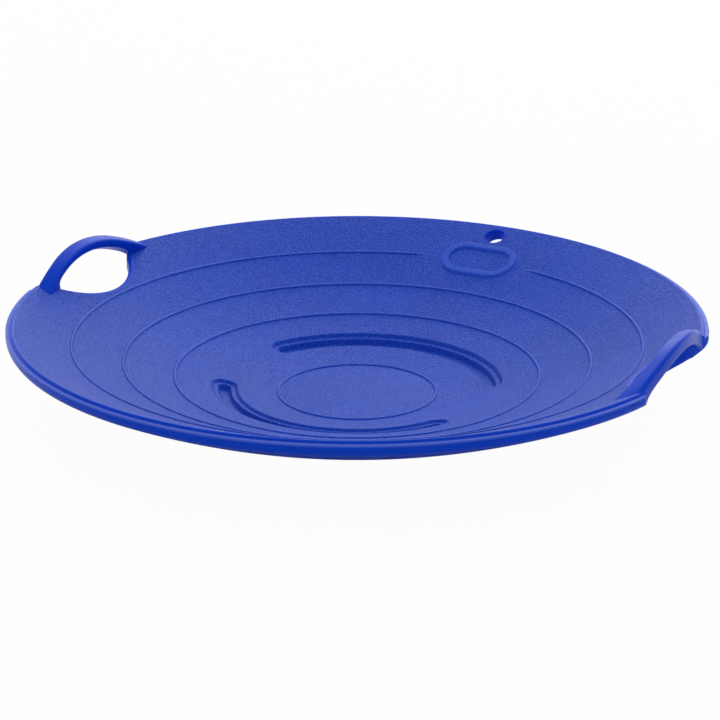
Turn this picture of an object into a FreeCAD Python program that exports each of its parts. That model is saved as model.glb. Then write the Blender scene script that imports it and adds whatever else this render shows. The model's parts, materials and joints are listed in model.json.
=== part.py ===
import FreeCAD, Part
import math
import os
import Sketcher

# Saucer sled: a hollow double-walled plastic disc with two arched handles.
# Millimetres. Origin under the middle of the flat running bottom, +Z up, +Y towards the tow hole,
# handles on +X (right) and -X (left). The whole is a mirror image across the plane X = 0.

doc = FreeCAD.newDocument("SaucerSled")

# Driving dimensions

sheet = doc.addObject("Spreadsheet::Sheet", "Sizes")
SIZES = [
    # dish
    ("rim_radius", 330.0),               # widest radius of the rim
    ("rim_face_inset", 4.5),             # widest circle in to the edge where the deck turns over
    ("rim_face_drop", 6.5),              # deck edge down to the widest circle
    ("rim_round_drop", 5.7),             # widest circle down to the running bottom's curve run on to it
    ("rim_band_width", 36.5),            # widest circle in to the seams with deck and bottom
    ("deck_flat_radius", 75.0),          # flat middle of the deck
    ("deck_dish_radius", 644.0),         # curvature of the deck round its flat middle
    ("deck_flank_width", 87.0),          # straight flank of the deck, in from the widest circle
    ("centre_thickness", 11.6),          # deck to running bottom in the middle
    ("bottom_flat_radius", 75.0),        # flat that the sled rests on
    ("wall", 2.0),                       # plastic wall
    # raised rings, the first at the edge of the flat middle
    ("ring_inset", 63.0),                # widest circle in to the outermost ring
    ("ring_spacing", 48.0),              # from the outermost ring in to the third and from there to the second
    ("ring_bead_radius", 1.3),
    ("ring_gap_angle", 27.0),            # the outermost ring stops short beside the badge
    # stepped channels
    ("channel_radius", 126.0),
    ("channel_span_angle", 124.0),       # between the centres of the round ends
    ("channel_mouth_width", 22.0),
    ("channel_ledge_width", 5.7),
    ("channel_step_depth", 2.8),
    ("channel_floor_drop", 4.7),         # from the ledge down to the floor
    # handles and hand openings
    ("handle_forward", 19.0),            # middle of the handles, ahead of the sled's middle
    ("handle_inset", 4.0),               # widest circle in to the handle's outer face
    ("handle_width", 18.0),              # outer face in to inner face
    ("handle_thickness", 13.8),          # underside of the arch up to its top
    ("handle_under_radius", 129.5),      # underside of the arch, about the arch's own axis
    ("handle_axis_drop", 118.7),         # deck edge down to the arch's own axis
    ("handle_edge_radius", 3.5),         # rounding along the grip
    ("opening_radius", 80.0),            # round of the hand opening in the deck
    ("opening_depth", 54.0),             # widest circle in to the opening's inner edge
    # tow hole
    ("tow_hole_radius", 10.0),
    ("tow_hole_inset", 22.5),            # widest circle in to the middle of the hole's mouth
    ("tow_hole_tilt", 30.0),             # from upright
    ("tow_stretch_length", 48.0),        # stretch of rim that holds the tow hole
    # badge frame
    ("badge_inset", 60.5),               # widest circle in to the middle of the frame
    ("badge_length", 77.0),
    ("badge_width", 42.0),
    ("badge_border", 6.5),
    ("badge_height", 2.0),
    ("badge_seat_gap", 0.1),             # under the frame, which rests on the deck without cutting into it
    # room that cutting tools run past a face
    ("overrun", 20.0),
]
for row, (alias, value) in enumerate(SIZES, start=1):
    sheet.set(f"A{row}", alias)
    sheet.set(f"B{row}", str(value))
    sheet.setAlias(f"B{row}", alias)
doc.recompute()

# Each size by its name in expressions
size = {alias: f"Sizes.{alias}" for alias, value in SIZES}


def number(expression):
    """Value of an expression, in millimetres."""
    return float(sheet.evalExpression(str(expression)))


def bind(item, expressions):
    """Bind properties of an object to expressions on the sheet."""
    for path, expression in expressions.items():
        item.setExpression(path, str(expression))


# Curves of the two walls, as expressions: radius from the sled's axis, and height

rim_radius = size["rim_radius"]
wall = size["wall"]
seam_radius = f"({rim_radius} - {size['rim_band_width']})"
deck_edge_radius = f"({rim_radius} - {size['rim_face_inset']})"
deck_flat_radius = size["deck_flat_radius"]
deck_dish_radius = size["deck_dish_radius"]
deck_flank_radius = f"({rim_radius} - {size['deck_flank_width']})"
bottom_flat_radius = size["bottom_flat_radius"]

deck_centre_height = f"({size['centre_thickness']} + sqrt({deck_dish_radius}^2 - {deck_flat_radius}^2))"
deck_flank_rise = f"sqrt({deck_dish_radius}^2 - {deck_flank_radius}^2)"
deck_slope = f"({deck_flank_radius} / {deck_flank_rise})"


def deck_flank_height(radius, depth):
    """Height of the deck's straight flank, sunk by a depth along its normal."""
    start = f"({deck_centre_height} - {deck_flank_rise})"
    sunk = f"({depth}) * {deck_dish_radius} / {deck_flank_rise}"
    return f"({start} + {deck_slope} * ({radius} - {deck_flank_radius}) - {sunk})"


def deck_dish_height(radius):
    """Height of the deck on its curved part."""
    return f"({deck_centre_height} - sqrt({deck_dish_radius}^2 - ({radius})^2))"


# Round lower edge of the rim, upright at the widest circle, and the running bottom that it meets
deck_edge_height = deck_flank_height(deck_edge_radius, "0")
rim_wide_height = f"({deck_edge_height} - {size['rim_face_drop']})"
bottom_rise = f"({rim_wide_height} - {size['rim_round_drop']})"
bottom_spread = f"({rim_radius}^2 - {bottom_flat_radius}^2)"
bottom_centre_height = f"(({bottom_spread} + {bottom_rise}^2) / (2 * {bottom_rise}))"
bottom_dish_radius = f"sqrt({bottom_centre_height}^2 + {bottom_flat_radius}^2)"


def bottom_height(radius, lift):
    """Height of the running bottom's curve, lifted along its normal."""
    return f"({bottom_centre_height} - sqrt(({bottom_dish_radius} - ({lift}))^2 - ({radius})^2))"


def deck_curve(depth, end_radius):
    """Deck from the axis outwards, sunk by a depth along its normal: points, and arcs by edge."""
    curve_radius = f"({deck_dish_radius} + ({depth}))"
    flat_height = f"({size['centre_thickness']} - ({depth}))"
    flat_end = f"sqrt({curve_radius}^2 - ({deck_centre_height} - {flat_height})^2)"
    flank_start = f"({curve_radius} * {deck_flank_radius} / {deck_dish_radius})"
    points = [
        ("0", flat_height),
        (flat_end, flat_height),
        (flank_start, deck_flank_height(flank_start, depth)),
        (end_radius, deck_flank_height(end_radius, depth)),
    ]
    return points, {1: (curve_radius, ("0", deck_centre_height))}


def bottom_curve(lift, end_radius):
    """Running bottom from the axis outwards, lifted along its normal: points, and arcs by edge."""
    curve_radius = f"({bottom_dish_radius} - ({lift}))"
    flat_end = f"sqrt({curve_radius}^2 - ({bottom_centre_height} - ({lift}))^2)"
    points = [
        ("0", f"({lift})"),
        (flat_end, f"({lift})"),
        (end_radius, bottom_height(end_radius, lift)),
    ]
    return points, {1: (curve_radius, ("0", bottom_centre_height))}


# The rim's lower round, tangent to the running bottom
rim_round_rise = f"({bottom_centre_height} - {rim_wide_height})"
rim_round_power = f"({bottom_dish_radius}^2 - {rim_radius}^2 - {rim_round_rise}^2)"
rim_round_radius = f"({rim_round_power} / (2 * ({bottom_dish_radius} - {rim_radius})))"
rim_round_centre = (f"({rim_radius} - {rim_round_radius})", rim_wide_height)


def rim_round_start(lift):
    """Where the rim's lower round leaves the running bottom's curve."""
    share = f"(({bottom_dish_radius} - ({lift})) / ({bottom_dish_radius} - {rim_round_radius}))"
    height = f"({bottom_centre_height} - {rim_round_rise} * {share})"
    return f"({rim_round_centre[0]} * {share})", height


# Solids of revolution drawn as sketches

def fixed_arc(start, end, radius, centre_hint):
    """Arc between two points, drawn anticlockwise round the centre nearest to the hint."""
    chord_x, chord_y = end[0] - start[0], end[1] - start[1]
    chord = math.hypot(chord_x, chord_y)
    rise = math.sqrt(max(radius ** 2 - (chord / 2) ** 2, 0))
    middle = ((start[0] + end[0]) / 2, (start[1] + end[1]) / 2)
    centres = [
        (middle[0] - side * rise * chord_y / chord, middle[1] + side * rise * chord_x / chord)
        for side in (1, -1)
    ]
    centre = min(centres, key=lambda place: math.dist(place, centre_hint))
    first = math.atan2(start[1] - centre[1], start[0] - centre[0])
    last = math.atan2(end[1] - centre[1], end[0] - centre[0])
    forward = (last - first) % (2 * math.pi) < math.pi
    if not forward:
        first, last = last, first
    circle = Part.Circle(FreeCAD.Vector(*centre, 0), FreeCAD.Vector(0, 0, 1), radius)
    return Part.ArcOfCircle(circle, first, last), forward


def turned_body(name, points, arcs):
    """Body turned about the sled's axis from a closed outline of (radius, height) expressions."""
    body = doc.addObject("PartDesign::Body", name)
    plane = next(item for item in body.Origin.OriginFeatures if item.Role == "XZ_Plane")
    sketch = body.newObject("Sketcher::SketchObject", f"{name}_outline")
    sketch.AttachmentSupport = [(plane, "")]
    sketch.MapMode = "FlatFace"
    places = [(number(x), number(y)) for x, y in points]
    ends = []
    for edge, start in enumerate(places):
        end = places[(edge + 1) % len(places)]
        if edge in arcs:
            radius, hint = arcs[edge]
            shape, forward = fixed_arc(start, end, number(radius), (number(hint[0]), number(hint[1])))
        else:
            shape, forward = Part.LineSegment(FreeCAD.Vector(*start, 0), FreeCAD.Vector(*end, 0)), True
        sketch.addGeometry(shape)
        ends.append((1, 2) if forward else (2, 1))
    origin_point, upright_axis = (-1, 1), -2
    for edge, (x, y) in enumerate(points):
        corner = (edge, ends[edge][0])
        before = (edge - 1) % len(points)
        sketch.addConstraint(Sketcher.Constraint("Coincident", before, ends[before][1], *corner))
        if x == "0":
            sketch.addConstraint(Sketcher.Constraint("PointOnObject", *corner, upright_axis))
        else:
            rule = Sketcher.Constraint("DistanceX", *origin_point, *corner, places[edge][0])
            across = sketch.addConstraint(rule)
            sketch.setExpression(f"Constraints[{across}]", x)
        rule = Sketcher.Constraint("DistanceY", *origin_point, *corner, places[edge][1])
        up = sketch.addConstraint(rule)
        sketch.setExpression(f"Constraints[{up}]", y)
    for edge, (radius, hint) in arcs.items():
        index = sketch.addConstraint(Sketcher.Constraint("Radius", edge, number(radius)))
        sketch.setExpression(f"Constraints[{index}]", radius)
    turn = body.newObject("PartDesign::Revolution", f"{name}_turn")
    turn.Profile = sketch
    turn.ReferenceAxis = (sketch, ["V_Axis"])
    turn.Angle = 360
    return body


def between(name, lower, upper):
    """Body between two curves that run from the axis to the same radius."""
    lower_points, lower_arcs = lower
    upper_points, upper_arcs = upper
    last = len(lower_points) + len(upper_points) - 1
    arcs = dict(lower_arcs)
    for edge, arc in upper_arcs.items():
        arcs[last - edge - 1] = arc
    return turned_body(name, lower_points + upper_points[::-1], arcs)


def level(height, end_radius):
    """Level line from the axis outwards."""
    return [("0", height), (end_radius, height)], {}


# Primitives and booleans

def cylinder(name, radius, length, expressions):
    """Upright cylinder with its sizes bound to the sheet."""
    item = doc.addObject("Part::Cylinder", name)
    bind(item, {"Radius": radius, "Height": length, **expressions})
    return item


def cut(name, base, tool):
    """First solid less the second."""
    item = doc.addObject("Part::Cut", name)
    item.Base = base
    item.Tool = tool
    return item


def common(name, base, tool):
    """What two solids share."""
    item = doc.addObject("Part::Common", name)
    item.Base = base
    item.Tool = tool
    return item


def fuse(name, items):
    """Solids joined into one."""
    item = doc.addObject("Part::MultiFuse", name)
    item.Shapes = items
    return item


def mirrored(name, source, normal):
    """Mirror image across a plane through the sled's axis."""
    item = doc.addObject("Part::Mirroring", name)
    item.Source = source
    item.Base = FreeCAD.Vector(0, 0, 0)
    item.Normal = normal
    return item


ACROSS = FreeCAD.Vector(1, 0, 0)
ALONG = FreeCAD.Vector(0, 1, 0)
overrun = size["overrun"]
handle_outer_radius = f"({rim_radius} - {size['handle_inset']})"
handle_inner_radius = f"({handle_outer_radius} - {size['handle_width']})"
handle_under_radius = size["handle_under_radius"]
handle_top_radius = f"({handle_under_radius} + {size['handle_thickness']})"
handle_axis_height = f"({deck_edge_height} - {size['handle_axis_drop']})"
sky = f"({handle_axis_height} + {handle_top_radius} + {overrun})"

# Walls and spaces of the double-walled dish

deck_wall = between("deck_wall", deck_curve(wall, seam_radius), deck_curve("0", seam_radius))
bottom_wall = between("bottom_wall", bottom_curve("0", seam_radius), bottom_curve(wall, seam_radius))
space = between(
    "space_between_walls",
    bottom_curve(wall, handle_outer_radius),
    deck_curve(wall, handle_outer_radius),
)
room = between("room_under_deck_top", bottom_curve(wall, seam_radius), deck_curve("0", seam_radius))
open_air = level(sky, seam_radius)
channel_depth = f"({size['channel_step_depth']} + {size['channel_floor_drop']})"
above_step = between("above_channel_step", deck_curve(size["channel_step_depth"], seam_radius), open_air)
above_floor = between("above_channel_floor", deck_curve(channel_depth, seam_radius), open_air)
badge_layer = between(
    "badge_layer",
    deck_curve(f"-{size['badge_seat_gap']}", seam_radius),
    deck_curve(f"-{size['badge_height']}", seam_radius),
)


def hull(name, inset):
    """Everything inside the running bottom and the rim, open upwards, set in from the outside."""
    round_start = rim_round_start(inset)
    side = f"({rim_radius} - ({inset}))"
    points, arcs = bottom_curve(inset, round_start[0])
    points[-1] = round_start
    outline = points + [(side, rim_wide_height), (side, sky), ("0", sky)]
    arcs[2] = (f"({rim_round_radius} - ({inset}))", rim_round_centre)
    return turned_body(name, outline, arcs)


outer_hull = hull("outer_hull", "0")
inner_hull = hull("inner_hull", wall)

# Rim: the edge wall, a hook-shaped section all round

rim_inner_edge = f"({deck_edge_radius} - {wall})"
rim_outline = [
    (seam_radius, deck_flank_height(seam_radius, "0")),
    (deck_edge_radius, deck_edge_height),
    (rim_radius, rim_wide_height),
    rim_round_start("0"),
    (seam_radius, bottom_height(seam_radius, "0")),
    (seam_radius, bottom_height(seam_radius, wall)),
    rim_round_start(wall),
    (f"({rim_radius} - {wall})", rim_wide_height),
    (rim_inner_edge, deck_flank_height(rim_inner_edge, wall)),
    (seam_radius, deck_flank_height(seam_radius, wall)),
]
rim_arcs = {
    2: (rim_round_radius, rim_round_centre),
    3: (bottom_dish_radius, ("0", bottom_centre_height)),
    5: (f"({bottom_dish_radius} - {wall})", ("0", bottom_centre_height)),
    6: (f"({rim_round_radius} - {wall})", rim_round_centre),
}
rim_ring = turned_body("rim_ring", rim_outline, rim_arcs)

# Outside of the whole disc without its handles
deck_points, deck_arcs = deck_curve("0", deck_edge_radius)
bottom_points, bottom_arcs = bottom_curve("0", rim_round_start("0")[0])
sled_points = bottom_points + [(rim_radius, rim_wide_height)] + deck_points[::-1]
sled_arcs = {
    1: bottom_arcs[1],
    2: rim_arcs[2],
    len(sled_points) - 3: deck_arcs[1],
}
sled_outline = turned_body("sled_outline", sled_points, sled_arcs)

# Handles: a ring about the sled's axis crossed with a ring about the arch's own axis

handle_reach = f"({size['opening_depth']} + {overrun})"
handle_start = f"({rim_radius} - {size['opening_depth']})"


def arch_ring(name, inner, outer):
    """Ring about the arch's axis, which runs outwards along X."""
    rings = []
    for label, radius in (("outer", outer), ("inner", inner)):
        place = {
            "Placement.Base.x": handle_start,
            "Placement.Base.y": size["handle_forward"],
            "Placement.Base.z": handle_axis_height,
        }
        item = cylinder(f"{name}_{label}", radius, handle_reach, {})
        item.Placement.Rotation = FreeCAD.Rotation(FreeCAD.Vector(0, 1, 0), 90)
        bind(item, place)
        rings.append(item)
    return cut(name, *rings), rings[1]


def upright_ring(name, inner, outer):
    """Upright ring about the sled's axis."""
    outside = cylinder(f"{name}_outer", outer, sky, {})
    inside = cylinder(f"{name}_inner", inner, sky, {})
    return cut(name, outside, inside), inside


def handle_blank(name, inset):
    """Arched bar, still running down through the rim, set in from its faces."""
    arch, under = arch_ring(
        f"{name}_arch",
        f"{handle_under_radius} + {inset}",
        f"{handle_top_radius} - {inset}",
    )
    ring, core = upright_ring(
        f"{name}_ring",
        f"{handle_inner_radius} + {inset}",
        f"{handle_outer_radius} - {inset}",
    )
    return common(name, ring, arch), under, core


bar, under_arch, inside_bar = handle_blank("handle_bar", "0")
bar_hollow, hollow_under, hollow_core = handle_blank("handle_hollow", wall)
doc.recompute()


def long_edges(shape):
    """Numbers of the edges that run along the bar, where its two pairs of round faces cross."""
    least_length = number(handle_under_radius)
    return [index for index, edge in enumerate(shape.Edges, start=1) if edge.Length > least_length]


rounded_bar = doc.addObject("Part::Fillet", "handle_rounded")
rounded_bar.Base = bar
edge_radius = number(size["handle_edge_radius"])
rounded_bar.Edges = [(index, edge_radius, edge_radius) for index in long_edges(bar.Shape)]

handle_solid = common("handle_solid", rounded_bar, outer_hull)
handle_space = common("handle_space", bar_hollow, inner_hull)
right_handle = cut("right_handle", handle_solid, handle_space)
handle_room = common("handle_room", bar, outer_hull)
left_handle = mirrored("left_handle", right_handle, ACROSS)

# Hand opening: a round notch through both walls, and the way out under the arch
opening_centre = f"({rim_radius} - {size['opening_depth']} + {size['opening_radius']})"
opening_place = {"Placement.Base.x": opening_centre, "Placement.Base.y": size["handle_forward"]}
notch = cylinder("opening_notch", size["opening_radius"], sky, opening_place)
way_out = cut("opening_way_out", under_arch, inside_bar)
opening = fuse("hand_opening", [notch, way_out, handle_room])
opening_mirror = mirrored("hand_opening_mirror", opening, ACROSS)
openings = fuse("hand_openings", [opening, opening_mirror])

# Grip wall: stands round the notch between deck and bottom, and turns out to the handle's legs
grip_outside = cylinder("grip_outside", f"{size['opening_radius']} + {wall}", sky, opening_place)
grip_limit = cylinder("grip_limit", handle_inner_radius, sky, {})
grip_round = common("grip_round", grip_outside, grip_limit)
return_ring, return_core = upright_ring(
    "grip_return_ring",
    f"{handle_inner_radius} - {wall}",
    handle_inner_radius,
)
grip_return = common("grip_return", return_ring, hollow_under)
grip_blank = cut("grip_blank", fuse("grip_both", [grip_round, grip_return]), notch)
right_grip_wall = common("right_grip_wall", grip_blank, space)
left_grip_wall = mirrored("left_grip_wall", right_grip_wall, ACROSS)

# Tow hole: a tilted sleeve through both walls
tow_hole_reach = f"({rim_radius} - {size['tow_hole_inset']})"
tow_mouth_height = deck_flank_height(tow_hole_reach, "0")


def tow_cylinder(name, radius):
    """Cylinder along the tow hole, centred on its mouth and past both walls."""
    reach = f"({size['centre_thickness']} + {overrun})"
    item = cylinder(name, radius, f"2 * {reach}", {})
    item.Placement.Rotation = FreeCAD.Rotation(FreeCAD.Vector(1, 0, 0), number(size["tow_hole_tilt"]))
    bind(item, {
        "Placement.Base.y": f"{tow_hole_reach} + {reach} * sin({size['tow_hole_tilt']})",
        "Placement.Base.z": f"{tow_mouth_height} - {reach} * cos({size['tow_hole_tilt']})",
        "Placement.Rotation.Angle": size["tow_hole_tilt"],
    })
    return item


tow_bore = tow_cylinder("tow_bore", size["tow_hole_radius"])
tow_outside = tow_cylinder("tow_outside", f"{size['tow_hole_radius']} + {wall}")
tow_tube = cut("tow_tube", tow_outside, tow_bore)
tow_hole_sleeve = common("tow_hole_sleeve", tow_tube, sled_outline)

# Stepped channels: arc slots with round ends, sunk in two steps
channel_half_span = f"({size['channel_span_angle']} / 2)"
channel_lead = f"(90 - {channel_half_span})"
channel_floor_width = f"({size['channel_mouth_width']} - 2 * {size['channel_ledge_width']})"


def arc_slot(name, width):
    """Upright slot along the channel's arc, centred on the tow-hole side, with round ends."""
    half = f"({width} / 2)"
    sector = cylinder(f"{name}_sector", f"{size['channel_radius']} + {half}", sky, {
        "Angle": size["channel_span_angle"],
    })
    sector.Placement.Rotation = FreeCAD.Rotation(FreeCAD.Vector(0, 0, 1), number(channel_lead))
    bind(sector, {"Placement.Rotation.Angle": channel_lead})
    middle = cylinder(f"{name}_middle", f"{size['channel_radius']} - {half}", sky, {})
    ends = []
    for label, side in (("right", 1), ("left", -1)):
        ends.append(cylinder(f"{name}_{label}_end", half, sky, {
            "Placement.Base.x": f"{side} * {size['channel_radius']} * sin({channel_half_span})",
            "Placement.Base.y": f"{size['channel_radius']} * cos({channel_half_span})",
        }))
    return fuse(name, [cut(f"{name}_arc", sector, middle), *ends])


mouth = arc_slot("channel_mouth", size["channel_mouth_width"])
floor_slot = arc_slot("channel_floor", channel_floor_width)
rim_of_channel = arc_slot("channel_rim", f"({size['channel_mouth_width']} + 2 * {wall})")
channel_block = common("channel_block", rim_of_channel, room)
channel_void = fuse("channel_void", [
    common("channel_upper_void", mouth, above_step),
    common("channel_lower_void", floor_slot, above_floor),
])
front_channel = cut("front_channel", channel_block, channel_void)
rear_channel = mirrored("rear_channel", front_channel, ALONG)
rear_rim_of_channel = mirrored("rear_rim_of_channel", rim_of_channel, ALONG)

# Badge frame: a raised oval border on the flank beside the tow hole
badge_reach = f"({rim_radius} - {size['badge_inset']})"


def oval(name, inset):
    """Upright oval prism over the badge, set in from the frame's outside."""
    width = f"({size['badge_width']} - 2 * ({inset}))"
    straight = f"({size['badge_length']} - {size['badge_width']})"
    box = doc.addObject("Part::Box", f"{name}_box")
    bind(box, {
        "Length": straight,
        "Width": width,
        "Height": sky,
        "Placement.Base.x": f"-{straight} / 2",
        "Placement.Base.y": f"{badge_reach} - {width} / 2",
    })
    rounds = [
        cylinder(f"{name}_{label}_round", f"{width} / 2", sky, {
            "Placement.Base.x": f"{side} * {straight} / 2",
            "Placement.Base.y": badge_reach,
        })
        for label, side in (("right", 1), ("left", -1))
    ]
    return fuse(name, [box, *rounds])


badge_ring = cut("badge_ring", oval("badge_outside", "0"), oval("badge_inside", size["badge_border"]))
badge_frame = common("badge_frame", badge_ring, badge_layer)

# Raised rings on the deck


def bead(name, radius, height, expressions):
    """Raised ring half sunk in the deck."""
    item = doc.addObject("Part::Torus", name)
    bind(item, {
        "Radius1": radius,
        "Radius2": size["ring_bead_radius"],
        "Placement.Base.z": height,
        **expressions,
    })
    return item


ring_fourth_radius = f"({rim_radius} - {size['ring_inset']})"
ring_third_radius = f"({ring_fourth_radius} - {size['ring_spacing']})"
ring_second_radius = f"({ring_third_radius} - {size['ring_spacing']})"
open_bead = bead(
    "ring_fourth",
    ring_fourth_radius,
    deck_flank_height(ring_fourth_radius, "0"),
    {"Angle3": f"360 - {size['ring_gap_angle']}"},
)
open_bead_lead = f"(90 + {size['ring_gap_angle']} / 2)"
open_bead.Placement.Rotation = FreeCAD.Rotation(FreeCAD.Vector(0, 0, 1), number(open_bead_lead))
bind(open_bead, {"Placement.Rotation.Angle": open_bead_lead})
beads = [
    bead("ring_first", deck_flat_radius, size["centre_thickness"], {}),
    bead("ring_second", ring_second_radius, deck_dish_height(ring_second_radius), {}),
    bead("ring_third", ring_third_radius, deck_dish_height(ring_third_radius), {}),
    open_bead,
]

# Walls with their openings
deck_with_rings = fuse("deck_with_rings", [deck_wall, *beads])
deck_cuts = fuse("deck_cuts", [openings, rim_of_channel, rear_rim_of_channel])
deck = cut("deck", deck_with_rings, deck_cuts)
running_bottom = cut("running_bottom", bottom_wall, openings)

# The rim's lengths: behind the handles, ahead of them on each side, and a short one round the tow hole
rim_cuts = fuse("rim_cuts", [openings, tow_outside])
open_rim = cut("rim_with_openings", rim_ring, rim_cuts)
rim_reach = f"({rim_radius} + {overrun})"
tow_half = f"({size['tow_stretch_length']} / 2)"


def rim_length(name, left, right, rear, front):
    """Stretch of the rim inside an upright box, given by its four sides."""
    box = doc.addObject("Part::Box", f"{name}_box")
    bind(box, {
        "Length": f"({right}) - ({left})",
        "Width": f"({front}) - ({rear})",
        "Height": sky,
        "Placement.Base.x": left,
        "Placement.Base.y": rear,
    })
    return common(name, open_rim, box)


ahead = size["handle_forward"]
rim_rear = rim_length("rim_rear", f"-{rim_reach}", rim_reach, f"-{rim_reach}", ahead)
rim_front_left = rim_length("rim_front_left", f"-{rim_reach}", f"-{tow_half}", ahead, rim_reach)
rim_front_right = rim_length("rim_front_right", tow_half, rim_reach, ahead, rim_reach)
rim_tow = rim_length("rim_tow", f"-{tow_half}", tow_half, ahead, rim_reach)

SUB_PARTS = {
    "deck": deck,
    "running_bottom": running_bottom,
    "rim_tow": rim_tow,
    "rim_front_left": rim_front_left,
    "rim_front_right": rim_front_right,
    "rim_rear": rim_rear,
    "left_handle": left_handle,
    "right_handle": right_handle,
    "left_grip_wall": left_grip_wall,
    "right_grip_wall": right_grip_wall,
    "front_channel": front_channel,
    "rear_channel": rear_channel,
    "tow_hole_sleeve": tow_hole_sleeve,
    "badge_frame": badge_frame,
}
doc.recompute()

# Checks before anything is written

for item in doc.Objects:
    if "Invalid" in item.State or "Error" in item.State:
        raise RuntimeError(f"{item.Name} failed: {item.State}")
for node, item in SUB_PARTS.items():
    item.Label = node
    shape = item.Shape
    if shape.isNull() or not shape.isValid() or not shape.Solids:
        raise RuntimeError(f"{node} has no valid solid")

os.makedirs("parts", exist_ok=True)
for node, item in SUB_PARTS.items():
    item.Shape.exportStep(f"parts/{node}.step")
    print(node, "solids", len(item.Shape.Solids), "volume", round(item.Shape.Volume))
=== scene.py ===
import json
import math

import bpy
from bpy.props import FloatProperty, FloatVectorProperty, IntProperty, PointerProperty
from mathutils import Matrix, Vector


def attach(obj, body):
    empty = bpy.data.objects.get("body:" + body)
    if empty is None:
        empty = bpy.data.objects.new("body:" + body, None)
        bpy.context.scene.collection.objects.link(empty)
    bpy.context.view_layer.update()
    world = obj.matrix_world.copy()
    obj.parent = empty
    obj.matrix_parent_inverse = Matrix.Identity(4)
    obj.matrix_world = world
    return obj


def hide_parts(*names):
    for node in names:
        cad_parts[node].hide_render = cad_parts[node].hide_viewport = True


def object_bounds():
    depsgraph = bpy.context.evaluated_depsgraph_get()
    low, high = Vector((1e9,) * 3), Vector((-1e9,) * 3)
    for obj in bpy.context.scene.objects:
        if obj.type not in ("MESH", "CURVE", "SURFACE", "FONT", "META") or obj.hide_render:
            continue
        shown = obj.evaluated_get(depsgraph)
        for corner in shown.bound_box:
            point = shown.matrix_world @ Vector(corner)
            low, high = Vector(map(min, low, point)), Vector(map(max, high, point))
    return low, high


bl_info = {
    "name": "Saucer Sled",
    "version": (1, 0, 0),
    "blender": (4, 5, 0),
    "location": "View3D > Sidebar > Sled",
    "description": "Models a plastic snow saucer over its CAD frame and sets it on a studio floor",
    "category": "Object",
}

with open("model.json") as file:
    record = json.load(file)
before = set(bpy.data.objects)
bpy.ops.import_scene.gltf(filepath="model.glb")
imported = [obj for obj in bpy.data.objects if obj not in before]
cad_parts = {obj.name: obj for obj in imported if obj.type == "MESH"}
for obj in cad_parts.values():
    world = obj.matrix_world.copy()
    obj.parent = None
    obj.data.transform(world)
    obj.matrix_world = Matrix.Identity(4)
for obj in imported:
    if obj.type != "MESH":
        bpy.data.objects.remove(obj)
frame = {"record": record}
CAD_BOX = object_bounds()
TOW_HOLE = next(mount for mount in frame["record"]["mounts"] if mount["name"] == "tow_hole")

MM = 0.001
UP = Vector((0.0, 0.0, 1.0))
MIDDLE = Vector((0.0, 0.0, 0.0))
FULL_TURN = 2.0 * math.pi
HALF_TURN = math.pi
SIDES = (1.0, -1.0)
CUT_LOW = -20.0 * MM
CUT_HIGH = 160.0 * MM
WHITE = (1.0, 1.0, 1.0, 1.0)


# Sizes and colours

def amount(label, description, value, **limits):
    """A plain number that a user can change."""
    return FloatProperty(name=label, description=description, default=value, **limits)


def length(label, description, millimetres):
    """A length that a user can change, given in millimetres."""
    return amount(label, description, millimetres * MM, unit="LENGTH", precision=4)


def angle(label, description, degrees):
    """An angle that a user can change, given in degrees."""
    return amount(label, description, math.radians(degrees), subtype="ANGLE")


def share(label, description, value):
    """A share between none and all."""
    return amount(label, description, value, subtype="FACTOR", min=0.0, max=1.0)


def colour(label, description, value):
    """A colour that a user can change."""
    return FloatVectorProperty(
        name=label, description=description, default=value, subtype="COLOR", min=0.0, max=1.0
    )


def spot(label, description, value):
    """A place that a user can change."""
    return FloatVectorProperty(name=label, description=description, default=value, subtype="TRANSLATION")


def count(label, description, value):
    """A number of steps."""
    return IntProperty(name=label, description=description, default=value, min=1)


class DishSizes(bpy.types.PropertyGroup):
    """The hollow disc: deck, running bottom and rim."""

    rim_radius: length("Rim radius", "Widest radius of the rim", CAD_BOX[1][1] / MM)
    face_inset: length("Face inset", "Widest circle in to the edge where the deck turns over", 4.5)
    face_drop: length("Face drop", "Deck edge down to the widest circle", 6.5)
    round_drop: length("Round drop", "Widest circle down to the running bottom's curve run on to it", 5.7)
    flat_radius: length("Flat radius", "Flat middle of the deck and of the running bottom", 75.0)
    deck_curvature: length("Deck curvature", "Radius of the deck's hollow", 644.0)
    flank_width: length("Flank width", "Straight flank of the deck, in from the widest circle", 87.0)
    thickness: length("Thickness", "Deck to running bottom in the middle", 11.6)
    wall: length("Wall", "Plastic wall", 2.0)
    deck_seam: length("Deck seam", "Radius at which the deck meets the rim", 322.3)
    bottom_seam: length("Bottom seam", "Radius at which the running bottom meets the rim", 316.0)
    edge_rounding: length("Edge rounding", "Rounding of the deck's outer edge", 2.4)
    ledge_inset: length("Ledge inset", "Widest circle in to the foot of the rim's ledge", 3.4)
    ledge_drop: length("Ledge drop", "Deck edge down to the foot of the rim's ledge", 3.4)
    ledge_width: length("Ledge width", "Width of the small ledge round the rim", 3.2)
    ledge_fall: length("Ledge fall", "Fall of the ledge over its width", -0.4)
    ledge_rounding: length("Ledge rounding", "Rounding of the ledge's lip", 0.8)
    ring_inset: length("Ring inset", "Widest circle in to the outermost ring", 61.0)
    ring_spacing: length("Ring spacing", "Between the three outer rings", 48.0)
    ring_height: length("Ring height", "Height of the raised rings", 1.7)
    ring_half_width: length("Ring half width", "Half the foot of a raised ring", 1.8)
    ring_gap: angle("Ring gap", "Opening of the outermost ring beside the badge", 27.0)
    ring_taper: angle("Ring taper", "Run over which the ring's ends die away", 1.2)
    dish_spacing: length("Dish spacing", "Distance between the mesh circles of the dish", 8.0)
    turn_steps: count("Turn steps", "Mesh steps round the disc", 288)


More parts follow.
